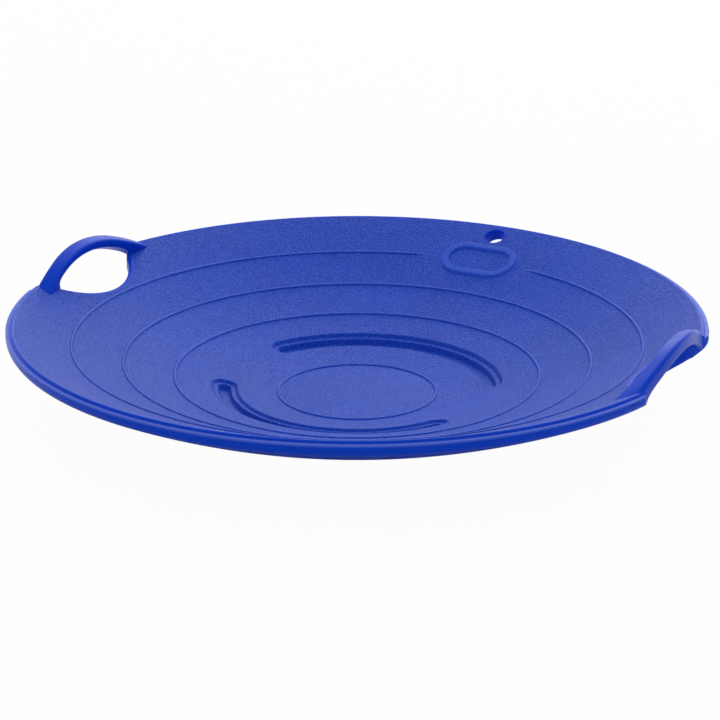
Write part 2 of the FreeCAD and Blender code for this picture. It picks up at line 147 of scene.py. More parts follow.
class ChannelSizes(bpy.types.PropertyGroup):
    """The two stepped channels in the deck."""

    radius: length("Channel radius", "Middle line of the channels", 126.0)
    span: angle("Channel span", "Between the centres of a channel's round ends", 124.0)
    cut_half_width: length("Cut half width", "Half the slot in the deck that a channel fills", 13.5)
    mouth_half_width: length("Mouth half width", "Half the mouth at the deck", 12.5)
    ledge_outer: length("Ledge outer half width", "Half the width at the foot of the upper wall", 10.2)
    ledge_inner: length("Ledge inner half width", "Half the width at the top of the lower wall", 6.2)
    floor_half_width: length("Floor half width", "Half the floor", 4.45)
    step_depth: length("Step depth", "Deck down to the ledge", 2.8)
    floor_depth: length("Floor depth", "Deck down to the floor", 7.5)
    mouth_rounding: length("Mouth rounding", "Rounding of the mouth's edge", 1.5)
    ledge_rounding: length("Ledge rounding", "Rounding at both edges of the ledge", 0.9)
    floor_rounding: length("Floor rounding", "Rounding along the floor", 1.3)
    turn_steps: count("Turn steps", "Mesh steps along a channel", 96)
    end_steps: count("End steps", "Mesh steps round a channel's end", 24)


class HandleSizes(bpy.types.PropertyGroup):
    """The arched handles and the hand openings below them."""

    forward: length("Forward", "Middle of the handles, ahead of the sled's middle", 19.0)
    arch_drop: length("Arch drop", "Deck edge down to the arch's own axis", 118.7)
    inner_radius: length("Inner radius", "Inner face of a handle, from the sled's middle", 308.0)
    outer_radius: length("Outer radius", "Outer face of a handle, from the sled's middle", 322.5)
    inner_top: length("Inner top", "Arch axis up to the inner top edge", 139.4)
    outer_top: length("Outer top", "Arch axis up to the outer top edge", 142.8)
    inner_under: length("Inner under", "Arch axis up to the inner lower edge", 131.9)
    outer_under: length("Outer under", "Arch axis up to the outer lower edge", 126.6)
    rounding: length("Rounding", "Rounding along the grip", 3.2)
    half_span: angle("Half span", "From the top of the arch down to an end", 52.0)
    opening_centre: length("Opening centre", "Widest circle out to the centre of the hand opening", 29.0)
    opening_radius: length("Opening radius", "Round of the hand opening", 80.0)
    lip_width: length("Lip width", "Lip of the hand opening on the deck", 5.0)
    lip_rounding: length("Lip rounding", "Rounding of the lip", 4.0)
    foot_width: length("Foot width", "Lip of the hand opening on the running bottom", 4.0)
    foot_rounding: length("Foot rounding", "Rounding at the running bottom", 3.0)
    wall_end: length("Wall end", "Radius at which the opening's wall ends in the rim", 322.0)
    flare_start: length("Flare start", "Radius at which the opening's ends begin to flare", 309.0)
    flare: length("Flare", "Widening of each end of the opening at the widest circle", 19.0)
    foot_rounding_height: length("Foot corner", "Rounding between a handle's underside and its foot", 12.0)
    foot_lean: share("Foot lean", "How far a foot leans back from the opening for its height", 0.5)
    foot_setback: length("Foot setback", "Foot of a handle back from the opening's wall", 0.6)
    outer_spread: length("Outer spread", "How far the outer face runs out to the rim at the feet", 3.5)
    inner_spread: length("Inner spread", "How far the inner face runs out at the feet", 6.0)
    spread_start: length("Spread start", "Distance along the handle at which its inner face runs out", 52.0)
    spread_run: length("Spread run", "Distance over which the faces run out", 36.0)
    straight_start: length("Straight start", "Distance along the handle at which its legs go straight", 42.0)
    right_rear: share("Right rear leg", "How straight the right handle's rear leg runs on from the arch", 1.0)
    left_rear: share("Left rear leg", "How straight the left handle's rear leg runs on", 0.15)
    fore: share("Forward legs", "How straight the forward legs run on", 0.6)
    outer_lift: share("Outer lift", "Share of that rise over the arch at the outer face", 0.75)
    turn_steps: count("Turn steps", "Mesh steps along a handle", 96)


class TowAndBadgeSizes(bpy.types.PropertyGroup):
    """The tow hole and the bare badge frame."""

    hole_radius: length("Hole radius", "Bore of the tow hole", TOW_HOLE["dims"]["r_mm"])
    cut_radius: length("Cut radius", "Hole in the walls that the sleeve lines", 11.5)
    lip_radius: length("Lip radius", "Outer edge of the sleeve's lips", 12.0)
    lip_rounding: length("Lip rounding", "Rounding of the sleeve's lips", 1.0)
    sleeve_wall: length("Sleeve wall", "Wall of the sleeve", 1.4)
    badge_inset: length("Badge inset", "Widest circle in to the middle of the frame", 60.5)
    badge_length: length("Badge length", "Frame from end to end", 80.0)
    badge_width: length("Badge width", "Frame from side to side", 45.0)
    badge_border: length("Badge border", "Width of the frame's border", 8.0)
    badge_height: length("Badge height", "Height of the frame above the deck", 2.0)
    badge_skirt: length("Badge skirt", "Soft outer foot of the border beyond its width", 0.8)
    badge_slope: length("Badge slope", "Run of the border's inner side", 0.8)
    badge_rounding: length("Badge rounding", "Rounding of the border's edges", 1.8)
    badge_sink: length("Badge sink", "Depth to which the border stands in the deck", 0.4)


class SledColours(bpy.types.PropertyGroup):
    """Colours and finish of the plastic."""

    deck_blue: colour("Deck blue", "Blue of the grained plastic", (0.002, 0.038, 0.40))
    # the paler end of the random drift and of the grain's painted pit shade
    deck_blue_paler: colour("Deck blue, paler", "Paler blue that drifts through it", (0.006, 0.084, 0.70))
    raised_blue: colour("Raised blue", "Blue of the badge's border, paler than the deck", (0.020, 0.078, 0.60))
    smooth_blue: colour("Smooth blue", "Blue of the smooth plastic", (0.001, 0.056, 0.66))
    smooth_blue_worn: colour("Smooth blue, paler", "Paler blue that drifts through it", (0.002, 0.062, 0.70))
    # painted highlight: a pale blue laid along the ring crests and the lip of the rim's ledge
    painted_highlight_blue: colour("Painted highlight blue", "Crests of the rings and lip of the rim", (0.16, 0.25, 0.88))
    deck_roughness: share("Deck roughness", "Roughness of the grained plastic", 0.34)
    deck_gloss_roughness: share("Deck gloss roughness", "Roughness of the thin gloss on the grain", 0.55)
    deck_gloss_index: amount("Deck gloss index", "How strongly that gloss mirrors", 1.35, min=1.0)
    deck_bloom: share("Deck bloom", "Pale bloom of the grain at a shallow angle", 0.06)
    smooth_roughness: share("Smooth roughness", "Roughness of the smooth plastic and its gloss", 0.30)
    smooth_gloss_index: amount("Smooth gloss index", "How strongly the smooth plastic mirrors", 1.18, min=1.0)
    grain_depth: length("Grain depth", "Depth of the pebble grain", 0.35)
    ripple_depth: length("Ripple depth", "Depth of the faint ripple in the smooth plastic", 0.05)


class StageSizes(bpy.types.PropertyGroup):
    """Floor, lamps and camera."""

    floor_radius: length("Floor radius", "Flat floor before the backdrop rises", 7000.0)
    cove_radius: length("Cove radius", "Round between floor and backdrop", 1500.0)
    backdrop_height: length("Backdrop height", "Top of the backdrop", 3200.0)
    floor_gap: length("Floor gap", "Air below the sled", 0.2)
    floor_colour: colour("Floor colour", "Pale floor and backdrop", (0.80, 0.80, 0.80))
    floor_glow: share("Floor glow", "Share of plain white that the floor shows to the camera", 0.97)
    shade_inner: length("Shade inner", "Radius inside which gloss sees only the shaded floor", 200.0)
    shade_outer: length("Shade outer", "Radius outside which gloss sees the floor white", 700.0)
    world_level: amount("World level", "Even light from all round", 0.62, min=0.0)
    key_power: amount("Key power", "Soft box behind the sled, in watts", 40.0, min=0.0)
    key_size: length("Key size", "Side of the soft box", 2600.0)
    key_place: spot("Key place", "Where the soft box hangs", (-0.39, 2.27, 1.9))
    camera_place: spot("Camera place", "Where the camera stands", (1.2044, -2.3177, 0.9793))
    camera_target: spot("Camera target", "What the camera looks at", (0.0024, 0.0012, 0.0435))
    camera_lens: amount("Lens", "Focal length", 146.3, unit="CAMERA")


# Shape of the dish

class Dish:
    """Heights of the sled's skins at a distance from its middle."""

    def __init__(self, sizes):
        self.sizes = sizes
        self.wide = sizes.rim_radius
        flat = sizes.flat_radius
        hollow = sizes.deck_curvature
        self.deck_centre = sizes.thickness + math.sqrt(hollow ** 2 - flat ** 2)
        self.flank_start = self.wide - sizes.flank_width
        self.flank_slope = self.flank_start / math.sqrt(hollow ** 2 - self.flank_start ** 2)
        self.edge_radius = self.wide - sizes.face_inset
        self.edge_height = self.deck(self.edge_radius)
        self.wide_height = self.edge_height - sizes.face_drop
        rise = self.wide_height - sizes.round_drop
        self.bottom_centre = (self.wide ** 2 - flat ** 2 + rise ** 2) / (2.0 * rise)
        self.bottom_curvature = math.hypot(self.bottom_centre, flat)
        drop = self.bottom_centre - self.wide_height
        spare = self.bottom_curvature - self.wide
        self.round_radius = (self.bottom_curvature ** 2 - self.wide ** 2 - drop ** 2) / (2.0 * spare)
        self.round_centre = self.wide - self.round_radius
        self.round_end = math.atan2(drop, self.round_centre)

    def deck(self, radius):
        """Height of the deck, without its rings."""
        if radius <= self.sizes.flat_radius:
            return self.sizes.thickness
        curved = min(radius, self.flank_start)
        height = self.deck_centre - math.sqrt(self.sizes.deck_curvature ** 2 - curved ** 2)
        return height + self.flank_slope * (radius - curved)

    def bottom(self, radius):
        """Height of the running bottom and of the rim's lower round."""
        if radius <= self.sizes.flat_radius:
            return 0.0
        if radius > self.round_centre + self.round_radius * math.cos(self.round_end):
            across = min(radius - self.round_centre, self.round_radius)
            return self.wide_height - math.sqrt(self.round_radius ** 2 - across ** 2)
        return self.bottom_centre - math.sqrt(self.bottom_curvature ** 2 - radius ** 2)

    def rings(self):
        """Radii of the raised rings, the outermost first."""
        outermost = self.wide - self.sizes.ring_inset
        spacing = self.sizes.ring_spacing
        return (outermost, outermost - spacing, outermost - 2.0 * spacing, self.sizes.flat_radius)

    def ring_rise(self, radius):
        """Height of the raised rings over the deck."""
        nearest = min(abs(radius - ring) for ring in self.rings())
        if nearest >= self.sizes.ring_half_width:
            return 0.0
        across = nearest / self.sizes.ring_half_width
        return self.sizes.ring_height * math.cos(across * HALF_TURN / 2.0) ** 2

    def circles(self, outer):
        """Radii of the mesh circles from the middle out, close together over the rings."""
        spacing = self.sizes.dish_spacing
        half = self.sizes.ring_half_width
        across_shares = (-1.25, -1.0, -0.75, -0.5, -0.25, 0.0, 0.25, 0.5, 0.75, 1.0, 1.25)
        close = {ring + half * across for ring in self.rings() for across in across_shares}
        even = {spacing * step for step in range(int(outer / spacing) + 1)}
        clear = {radius for radius in even if min(abs(radius - ring) for ring in self.rings()) > 2.0 * half}
        bends = {self.flank_start, outer}
        inside = (radius for radius in close | clear | bends if radius <= outer)
        return sorted(inside)


def smooth_step(low, high, value):
    """Rises softly from none at low to all at high."""
    run = min(max((value - low) / (high - low), 0.0), 1.0)
    return run * run * (3.0 - 2.0 * run)


def mixed(start, end, run):
    """The value that lies a share of the way from start to end."""
    return start + (end - start) * run


def about_upright(turn):
    """A turn round the sled's axis."""
    return Matrix.Rotation(turn, 3, "Z")


# Outlines

def arc(centre, radius, start, end, steps):
    """Points round a centre, from one angle to another."""
    return [
        Vector((centre[0] + radius * math.cos(turn), centre[1] + radius * math.sin(turn)))
        for turn in (mixed(start, end, step / steps) for step in range(steps + 1))
    ]


def rounded_corner(before, corner, after, radius, steps=6):
    """The arc that rounds one corner of an outline."""
    arriving = (before - corner).normalized()
    leaving = (after - corner).normalized()
    half_angle = arriving.angle(leaving) / 2.0
    centre = corner + (arriving + leaving).normalized() * (radius / math.sin(half_angle))
    setback = radius / math.tan(half_angle)
    first = corner + arriving * setback - centre
    last = corner + leaving * setback - centre
    start = math.atan2(first.y, first.x)
    sweep = math.remainder(math.atan2(last.y, last.x) - start, FULL_TURN)
    return arc(centre, radius, start, start + sweep, steps)


def rounded_outline(corners, radii):
    """An open outline whose inner corners are rounded, each to its radius."""
    corners = [Vector(corner) for corner in corners]
    outline = [corners[0]]
    for before, corner, after, radius in zip(corners, corners[1:], corners[2:], radii):
        outline += rounded_corner(before, corner, after, radius)
    return outline + [corners[-1]]


def rounded_loop(corners, radius):
    """A closed outline with all its corners rounded, whose last point is its first."""
    around = [corners[-1], *corners, corners[0]]
    outline = rounded_outline(around, [radius] * len(corners))[1:-1]
    return outline + outline[:1]


def upright(outline, along=0.0):
    """Stands an outline of radius and height in the plane through the sled's axis and its right side."""
    return [Vector((point[0], along, point[1])) for point in outline]


# Modelling by hand

def begin(name):
    """Starts a piece as a small plane merged to one corner, in edit mode."""
    bpy.ops.object.select_all(action="DESELECT")
    bpy.ops.mesh.primitive_plane_add(size=MM)
    piece = bpy.context.object
    piece.name = name
    piece.data.name = name
    bpy.ops.object.mode_set(mode="EDIT")
    bpy.ops.mesh.select_mode(type="VERT")
    bpy.ops.mesh.select_all(action="SELECT")
    bpy.ops.mesh.merge(type="CENTER")
    return piece


def draw(outline):
    """Extrudes the one corner along an outline and leaves the outline selected."""
    bpy.ops.transform.translate(value=outline[0])
    for start, end in zip(outline, outline[1:]):
        bpy.ops.mesh.extrude_vertices_move(TRANSFORM_OT_translate={"value": end - start})
    bpy.ops.mesh.select_all(action="SELECT")
    bpy.ops.mesh.remove_doubles(threshold=0.001 * MM)


def turn(centre, axis, sweep, steps):
    """Spins what is selected about an axis and leaves the far end selected; the operator turns clockwise."""
    bpy.ops.mesh.spin(steps=steps, angle=-sweep, center=centre, axis=axis)


def slide(step, steps=1):
    """Extrudes what is selected along a step, in equal parts."""
    for _ in range(steps):
        bpy.ops.mesh.extrude_edges_move(TRANSFORM_OT_translate={"value": step / steps})


def make_active(piece):
    """Selects one piece alone."""
    bpy.ops.object.select_all(action="DESELECT")
    piece.select_set(True)
    bpy.context.view_layer.objects.active = piece


def select_corners(piece, wanted):
    """Selects the corners whose places are wanted, in edit mode."""
    bpy.ops.mesh.select_all(action="DESELECT")
    bpy.ops.object.mode_set(mode="OBJECT")
    for corner in piece.data.vertices:
        corner.select = wanted(corner.co)
    bpy.ops.object.mode_set(mode="EDIT")


def flip_faces(piece):
    """Turns all the faces of a piece round."""
    make_active(piece)
    bpy.ops.object.mode_set(mode="EDIT")
    bpy.ops.mesh.select_all(action="SELECT")
    bpy.ops.mesh.flip_normals()
    bpy.ops.object.mode_set(mode="OBJECT")


def close_seams(piece, facing=None):
    """Merges the seams, leaves edit mode and turns the faces outwards, or the way that facing gives."""
    bpy.ops.mesh.select_all(action="SELECT")
    bpy.ops.mesh.remove_doubles(threshold=0.005 * MM)
    bpy.ops.mesh.normals_make_consistent(inside=False)
    bpy.ops.object.mode_set(mode="OBJECT")
    if facing:
        lean = sum(face.normal.dot(facing(face.center)) * face.area for face in piece.data.polygons)
        if lean < 0.0:
            flip_faces(piece)


def upwards(place):
    """The way up, which is the same from every place."""
    return UP


def towards(axis):
    """Gives the level way from any place to an upright axis."""
    return lambda place: Vector((axis.x - place.x, axis.y - place.y, 0.0))


def turned(name, outline, steps, facing=None):
    """The piece that an outline of radius and height makes once round the sled's axis."""
    piece = begin(name)
    draw(upright(outline))
    turn(MIDDLE, UP, FULL_TURN, steps)
    close_seams(piece, facing)
    return piece


def reshape(piece, place):
    """Moves each corner of the piece to its place."""
    for corner in piece.data.vertices:
        corner.co = place(corner.co.copy())
    piece.data.update()


def lay_on_deck(piece, dish):
    """Lifts a flat piece to the deck's height all over."""
    reshape(piece, lambda place: place + UP * dish.deck(math.hypot(place.x, place.y)))


def flipped(piece):
    """Reflects a piece to the sled's other side and keeps its faces outwards."""
    reshape(piece, lambda place: Vector((-place.x, place.y, place.z)))
    flip_faces(piece)
    return piece


def copied(piece, name):
    """A copy with its own mesh."""
    make_active(piece)
    bpy.ops.object.duplicate(linked=False)
    copy = bpy.context.object
    copy.name = name
    copy.data.name = name
    return copy


def modify(piece, kind, **settings):
    """Adds a modifier, sets it and applies it."""
    make_active(piece)
    bpy.ops.object.modifier_add(type=kind)
    modifier = piece.modifiers[-1]
    for name, value in settings.items():
        setattr(modifier, name, value)
    bpy.ops.object.modifier_apply(modifier=modifier.name)


def thicken(piece, wall):
    """Gives a skin its wall, on the side away from its faces."""
    modify(piece, "SOLIDIFY", thickness=wall, offset=-1.0, use_even_offset=True)


def carve(piece, *cutters):
    """Cuts blocks out of a piece and throws the blocks away."""
    for cutter in cutters:
        modify(piece, "BOOLEAN", operation="DIFFERENCE", solver="EXACT", object=cutter)
        bpy.data.objects.remove(cutter)


def deliver(piece, finish, nodes, crease=30.0):
    """Shades and paints a piece and puts it on the sled in place of its CAD nodes."""
    make_active(piece)
    bpy.ops.object.shade_smooth_by_angle(angle=math.radians(crease))
    piece.data.materials.clear()
    piece.data.materials.append(finish)
    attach(piece, "root")
    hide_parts(*nodes)


# Finishes

class Socket:
    """A shader socket that takes part in Python expressions."""

    def __init__(self, finish, socket):
        self.finish = finish
        self.socket = socket

    def math(self, operation, first, second):
        """Adds one Math node."""
        return self.finish.node("ShaderNodeMath", {"operation": operation}, {0: first, 1: second})

    def __add__(self, other):
        return self.math("ADD", self, other)

    __radd__ = __add__

    def __mul__(self, other):
        return self.math("MULTIPLY", self, other)

    __rmul__ = __mul__

    def __sub__(self, other):
        return self.math("SUBTRACT", self, other)

    def __rsub__(self, other):
        return self.math("SUBTRACT", other, self)

    def larger(self, other):
        """The larger of two values."""
        return self.math("MAXIMUM", self, other)

    def ramp(self, low, high, start=0.0, end=1.0):
        """Runs from start at low to end at high, and stays there."""
        values = {"Value": self, "From Min": low, "From Max": high, "To Min": start, "To Max": end}
        return self.finish.node("ShaderNodeMapRange", {"clamp": True}, values)


class Finish:
    """A node tree that is filled one node at a time."""

    def __init__(self, owner):
        owner.use_nodes = True
        self.tree = owner.node_tree
        self.tree.nodes.clear()

    def node(self, kind, settings=None, sockets=None, output=0):
        """Adds a node: its settings first, then the values or links of its sockets."""
        node = self.tree.nodes.new(kind)
        for name, value in (settings or {}).items():
            setattr(node, name, value)
        for name, value in (sockets or {}).items():
            if isinstance(value, Socket):
                self.tree.links.new(value.socket, node.inputs[name])
            else:
                node.inputs[name].default_value = value
        return Socket(self, node.outputs[output]) if len(node.outputs) else None


def opaque(value):
    """A colour with full alpha."""
    return (*value, 1.0)


def blended(finish, factor, first, second):
    """One colour mixed over another."""
    # the node's colour sockets share their names with its others, so they go by number
    return finish.node("ShaderNodeMix", {"data_type": "RGBA"}, {0: factor, 6: first, 7: second}, output=2)


def noise(finish, place, scale, detail, roughness=0.5):
    """A soft noise about a half."""
    values = {"Vector": place, "Scale": scale, "Detail": detail, "Roughness": roughness}
    return finish.node("ShaderNodeTexNoise", None, values)


def plastic(name, blue, paler_blue, roughness, gloss_roughness, gloss_index, bloom, surface_of):
    """A blue plastic, made once, whose bump, gloss, specks with their painted shade, and painted highlights
    surface_of gives.
    """
    made = bpy.data.materials.get(name)
    if made:
        return made
    material = bpy.data.materials.new(name)
    finish = Finish(material)
    place = finish.node("ShaderNodeTexCoord", output="Object")
    drift_scale = 14.0
    drift_share = 0.5
    roughness_drift = 0.08
    drift = noise(finish, place, drift_scale, detail=3.0)
    bump, gloss, specks, painted_highlight = surface_of(finish, place)
    # drift is random tone; the specks add painted shade, darker in the grain's pits and paler on its tops
    base = blended(finish, drift * drift_share + specks, opaque(blue), opaque(paler_blue))
    # painted highlight: the pale blue is mixed into the colour wherever surface_of marks a highlight
    painted_highlight_blue = bpy.context.scene.sled_colours.painted_highlight_blue
    surface = finish.node(
        "ShaderNodeBsdfPrincipled",
        None,
        {
            "Base Color": blended(finish, painted_highlight, base, opaque(painted_highlight_blue)),
            "Roughness": drift * roughness_drift + (roughness - roughness_drift / 2.0),
            "IOR": 1.5,
            "Specular IOR Level": 0.03,
            "Coat Weight": gloss,
            "Coat Roughness": gloss_roughness,
            "Coat IOR": gloss_index,
            "Sheen Weight": bloom,
            "Sheen Roughness": 0.5,
            "Normal": bump,
        },
    )
    finish.node("ShaderNodeOutputMaterial", None, {"Surface": surface})
    return material


def coordinates(finish, place):
    """The three coordinates of a place and its distance from the sled's axis."""
    axes = range(3)
    across, along, up = (finish.node("ShaderNodeSeparateXYZ", None, {0: place}, output=axis) for axis in axes)
    radius = across.math("POWER", across * across + along * along, 0.5)
    return across, along, up, radius


def painted_highlight_lip(finish, place, dish):
    """Painted highlight along the lip of the rim's ledge: strongest along the lip and fading below it."""
    sizes = dish.sizes
    _, _, up, radius = coordinates(finish, place)
    lip_height = dish.edge_height - sizes.ledge_drop - sizes.ledge_fall
    foot_radius = dish.wide - sizes.ledge_inset
    fade = 2.6 * MM
    margin = 0.4 * MM
    lip_highlight_share = 0.7
    below = up.ramp(lip_height - fade, lip_height)
    above = (0.0 - up).ramp(-lip_height - margin, -lip_height)
    return lip_highlight_share * below * above * radius.ramp(foot_radius - margin, foot_radius)


def ring_crest_highlights(finish, place, dish):
    """Painted highlight along the crests of the raised rings: one along each crest and nought off it."""
    sizes = dish.sizes
    crest_half_width = sizes.ring_half_width / 2.0
    across, along, _, radius = coordinates(finish, place)
    bearing = across.math("ARCTAN2", across, along)
    half_gap = sizes.ring_gap / 2.0
    beyond_gap = bearing.larger(0.0 - bearing).ramp(half_gap, half_gap + sizes.ring_taper)
    away = [(radius - ring).larger(ring - radius) for ring in dish.rings()]
    outermost, *others = (distance.ramp(0.0, crest_half_width, 1.0, 0.0) for distance in away)
    return sum(others, outermost * beyond_gap)


def pebble_grain(depth, dish=None):
    """Fine pebbles, uneven in size, as moulded into the deck: glossy on top and dull in the pits, with
    painted shade that makes the colour darker in the pits and paler on top.
    """
    pebble_scale = 700.0
    speck_scale = 800.0
    speck_height_share = 0.8
    speck_shade_contrast = 1.8
    mean_share = 0.25
    middle = 0.5
    dull = 0.44
    bright = 0.56
    most_gloss = 0.68

    def surface(finish, place):
        pebbles = finish.node("ShaderNodeTexVoronoi", None, {"Vector": place, "Scale": pebble_scale})
        specks = noise(finish, place, speck_scale, detail=1.0, roughness=0.6)
        height = specks * speck_height_share - pebbles
        bump = finish.node("ShaderNodeBump", None, {"Strength": 1.0, "Distance": depth, "Height": height})
        gloss = specks.ramp(dull, bright, 0.0, most_gloss)
        # painted highlight along the ring crests, where a dish is given
        painted_highlight = ring_crest_highlights(finish, place, dish) if dish else 0.0
        # the colour follows the specks' height: painted shade, darker in the pits and paler on top
        return bump, gloss, (specks - middle) * speck_shade_contrast + mean_share, painted_highlight

    return surface


def faint_ripple(depth, dish):
    """The soft unevenness of a smooth moulding."""
    ripple_scale = 160.0
    gloss = 0.45
    mean_share = 0.25

    def surface(finish, place):
        height = noise(finish, place, ripple_scale, detail=2.0)
        bump = finish.node("ShaderNodeBump", None, {"Strength": 0.35, "Distance": depth, "Height": height})
        # painted highlight along the lip of the rim's ledge
        return bump, gloss, mean_share, painted_highlight_lip(finish, place, dish)

    return surface


def grained_blue(colours):
    """The deck's grained plastic."""
    return plastic(
        "grained_blue_plastic", colours.deck_blue, colours.deck_blue_paler, colours.deck_roughness,
        colours.deck_gloss_roughness, colours.deck_gloss_index, colours.deck_bloom,
        pebble_grain(colours.grain_depth, Dish(bpy.context.scene.sled_dish)),
    )


def raised_blue(colours):
    """The grained plastic of the badge frame, paler than the deck and with half its grain."""
    return plastic(
        "raised_blue_plastic", colours.raised_blue, colours.deck_blue_paler, colours.deck_roughness,
        colours.deck_gloss_roughness, colours.deck_gloss_index, 2.0 * colours.deck_bloom,
        pebble_grain(colours.grain_depth / 2.0),
    )


def smooth_blue(colours):
    """The smooth plastic of rim, handles and underside."""
    return plastic(
        "smooth_blue_plastic", colours.smooth_blue, colours.smooth_blue_worn, colours.smooth_roughness,
        colours.smooth_roughness, colours.smooth_gloss_index, 0.0,
        faint_ripple(colours.ripple_depth, Dish(bpy.context.scene.sled_dish)),
    )


# Shared shapes of the hand openings

class HandOpening:
    """Plan of a hand opening: a round cut whose ends flare through the rim."""

    def __init__(self, dish, sizes):
        self.sizes = sizes
        self.wide = dish.wide
        self.bearing = math.atan2(sizes.forward, dish.wide + sizes.opening_centre)
        self.centre = math.hypot(sizes.forward, dish.wide + sizes.opening_centre)
        along = self.along(sizes.wall_end)
        self.wall_sweep = math.atan2(math.sqrt(sizes.wall_end ** 2 - along ** 2), self.centre - along)

    def along(self, ring):
        """How far out a ring about the sled's middle crosses the opening's round."""
        return (self.centre ** 2 + ring ** 2 - self.sizes.opening_radius ** 2) / (2.0 * self.centre)

    def half_width(self, ring):
        """Half the opening's length at a distance from the sled's middle."""
        return math.sqrt(max(ring ** 2 - self.along(ring) ** 2, 0.0)) + self.flare_at(ring)

    def flare_at(self, ring):
        """How much wider than its round the opening is at each end."""
        run = max(ring - self.sizes.flare_start, 0.0) / (self.wide - self.sizes.flare_start)
        flare_curve = 1.6
        return self.sizes.flare * run ** flare_curve


def cylinder(radius, depth, place, lean, corners):
    """A cylinder to cut with."""
    bpy.ops.object.select_all(action="DESELECT")
    bpy.ops.mesh.primitive_cylinder_add(
        vertices=corners, radius=radius, depth=depth, location=place, rotation=lean
    )
    bpy.ops.object.transform_apply(location=True, rotation=True, scale=True)
    return bpy.context.object


def post(radius, ring, bearing, corners, spin=0.0):
    """An upright cylinder through all the skins, at a distance and bearing from the sled's middle."""
    place = about_upright(bearing) @ Vector((ring, 0.0, (CUT_HIGH + CUT_LOW) / 2.0))
    return cylinder(radius, CUT_HIGH - CUT_LOW, place, (0.0, 0.0, spin), corners)


def opening_cutter(dish, sizes, side, lip):
    """The round block that cuts a hand opening, a lip's width wider than the opening, out of a skin."""
    plan = HandOpening(dish, sizes)
    bearing = plan.bearing if side > 0.0 else HALF_TURN - plan.bearing
    round_steps = 256
    return post(sizes.opening_radius + lip, plan.centre, bearing, round_steps)


def flared_cutter(dish, sizes, side):
    """The space of a hand opening through the rim, with its flared ends."""
    plan = HandOpening(dish, sizes)
    beyond = 12.0 * MM
    outer = dish.wide + beyond
    ring_steps = 24
    rings = [mixed(sizes.inner_radius, outer, step / ring_steps) for step in range(ring_steps + 1)]
    near_side = [(ring, -math.asin(plan.half_width(ring) / ring)) for ring in rings]
    far_side = [(ring, -sweep) for ring, sweep in reversed(near_side)]
    widest = far_side[0][1]
    outside = [(outer, mixed(-widest, widest, step / ring_steps)) for step in range(1, ring_steps)]
    block = begin("opening_block")
    draw([
        about_upright(plan.bearing + sweep) @ Vector((ring, 0.0, CUT_LOW))
        for ring, sweep in near_side + outside + far_side + near_side[:1]
    ])
    bpy.ops.mesh.edge_face_add()
    bpy.ops.mesh.extrude_region_move(TRANSFORM_OT_translate={"value": UP * (CUT_HIGH - CUT_LOW)})
    close_seams(block)
    return block if side > 0.0 else flipped(block)


def tow_cutter(radius):
    """A cylinder along the tow hole's axis."""
    lean = UP.rotation_difference(Vector(TOW_HOLE["axis"])).to_euler()
    depth = 60.0 * MM
    round_steps = 96
    return cylinder(radius, depth, TOW_HOLE["pos_m"], lean, round_steps)


def channel_cutters(sizes, rear):
    """The blocks that cut the slot for a channel: its run and its two round ends."""
    half = sizes.cut_half_width
    inner = sizes.radius - half
    outer = sizes.radius + half
    start = HALF_TURN / 2.0 - sizes.span / 2.0 + (HALF_TURN if rear else 0.0)
    corners = [(inner, CUT_LOW), (outer, CUT_LOW), (outer, CUT_HIGH), (inner, CUT_HIGH), (inner, CUT_LOW)]
    run = begin("slot")
    draw([about_upright(start) @ point for point in upright(corners)])
    bpy.ops.mesh.edge_face_add()
    # one step more than the channel has, so that no corner of the slot falls on the deck's middle line
    turn(MIDDLE, UP, sizes.span, sizes.turn_steps + 1)
    close_seams(run)
    bearings = (start, start + sizes.span)
    return [run] + [post(half, sizes.radius, bearing, 2 * sizes.end_steps, bearing) for bearing in bearings]


# Pieces

class SLED_OT_deck(bpy.types.Operator):
    """Turns the grained deck with its raised rings and cuts its openings"""

    bl_idname = "sled.deck"
    bl_label = "Deck"

    def execute(self, context):
        scene = context.scene
        sizes = scene.sled_dish
        dish = Dish(sizes)
        circles = dish.circles(sizes.deck_seam)
        top = [(radius, dish.deck(radius) + dish.ring_rise(radius)) for radius in circles]
        under_circles = [radius for radius in circles if dish.ring_rise(radius) == 0.0]
        under = [(radius, dish.deck(radius) - sizes.wall) for radius in reversed(under_circles)]
        deck = turned("deck_skin", top + under, sizes.turn_steps)
        self.open_outer_ring(deck, dish)
        for rear in (False, True):
            carve(deck, *channel_cutters(scene.sled_channels, rear))
        handles = scene.sled_handles
        for side in SIDES:
            carve(deck, opening_cutter(dish, handles, side, handles.lip_width))
            carve(deck, flared_cutter(dish, handles, side))
        carve(deck, tow_cutter(scene.sled_tow.cut_radius))
        deliver(deck, grained_blue(scene.sled_colours), ["deck"])
        return {"FINISHED"}

    def open_outer_ring(self, deck, dish):
        """Lets the outermost ring die away on both sides of the badge."""
        sizes = dish.sizes
        outermost = dish.rings()[0]
        half_gap = sizes.ring_gap / 2.0

        def place(corner):
            radius = math.hypot(corner.x, corner.y)
            base = dish.deck(radius)
            if abs(radius - outermost) > sizes.ring_half_width or corner.z < base:
                return corner
            bearing = abs(math.atan2(corner.x, corner.y))
            height_share = smooth_step(half_gap - sizes.ring_taper, half_gap + sizes.ring_taper, bearing)
            return Vector((corner.x, corner.y, mixed(base, corner.z, height_share)))

        reshape(deck, place)


